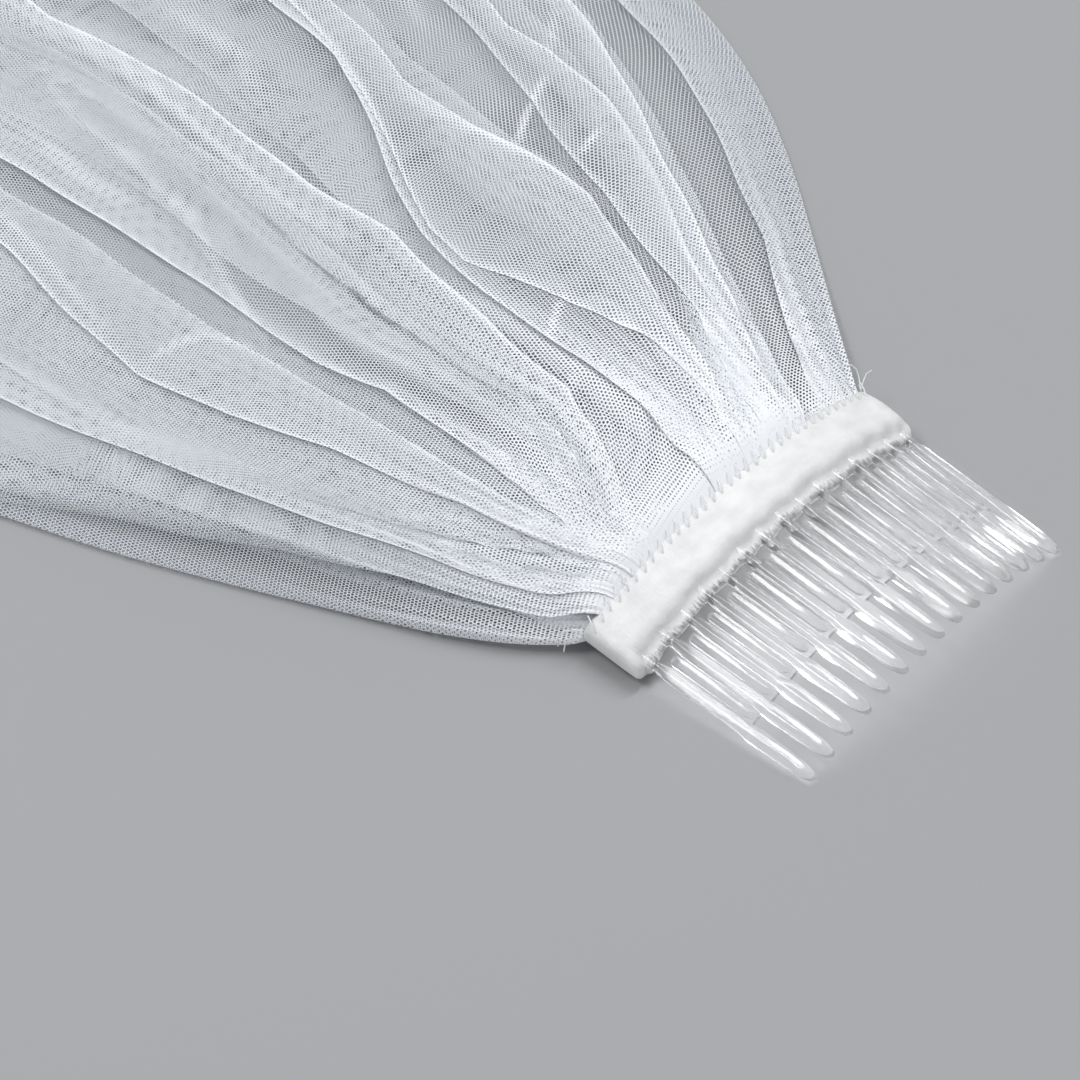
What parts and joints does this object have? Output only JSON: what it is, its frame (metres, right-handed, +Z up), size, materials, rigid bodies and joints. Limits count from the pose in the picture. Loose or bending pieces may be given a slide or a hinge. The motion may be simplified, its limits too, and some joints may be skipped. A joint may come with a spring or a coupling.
{
  "type": "bridal veil",
  "caption": "White tulle bridal veil with a longer and a shorter tier, gathered under a folded satin ribbon to an arched clear plastic hair comb, laid flat in a fan.",
  "frame": {"origin": "middle of the veil's bounding box in plan, on the surface that it rests on", "axes": "+X along the comb's teeth, away from the cloth; -X towards the hems; +Y across the comb; +Z up from the surface"},
  "size_m": [0.7508, 0.4928, 0.0286],
  "materials": {
    "clear_plastic": "clear, polished moulding",
    "satin_ribbon": "white satin, soft sheen",
    "tulle_lower": "cool white hexagonal net, sheer",
    "tulle_upper": "cool white hexagonal net, sheer"
  },
  "bodies": {
    "root": {"comb": "clear_plastic", "ribbon_wrap": "satin_ribbon", "tier_lower": "tulle_lower", "tier_upper": "tulle_upper"}
  },
  "joints": []
}
